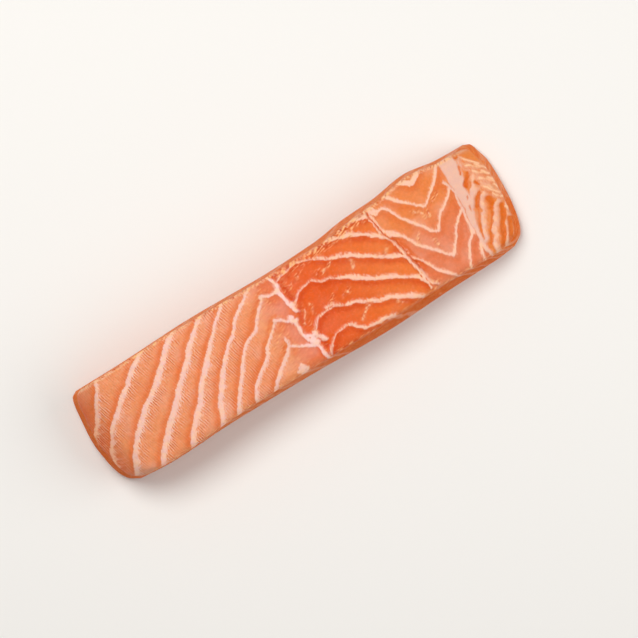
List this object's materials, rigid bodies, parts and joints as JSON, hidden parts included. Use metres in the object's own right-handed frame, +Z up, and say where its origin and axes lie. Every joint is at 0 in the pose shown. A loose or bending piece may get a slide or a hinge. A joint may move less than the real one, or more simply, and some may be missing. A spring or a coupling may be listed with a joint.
{
  "type": "raw salmon fillet",
  "caption": "Strip of raw salmon fillet, boned face up: thick loin end with slanting pale bands, thin belly flap, flat underside to rest on.",
  "frame": {"origin": "middle of the flat underside, below the centre of the bounding box", "axes": "+X along the strip from the thick loin end to the thin belly flap, +Y across the strip towards the side that bulges at the belly, +Z up out of the boned face"},
  "size_m": [0.1798, 0.0462, 0.0279],
  "materials": {
    "salmon_flesh": "wet raw flesh with a soft sheen"
  },
  "bodies": {
    "root": {"salmon_fillet": "salmon_flesh"}
  },
  "joints": []
}
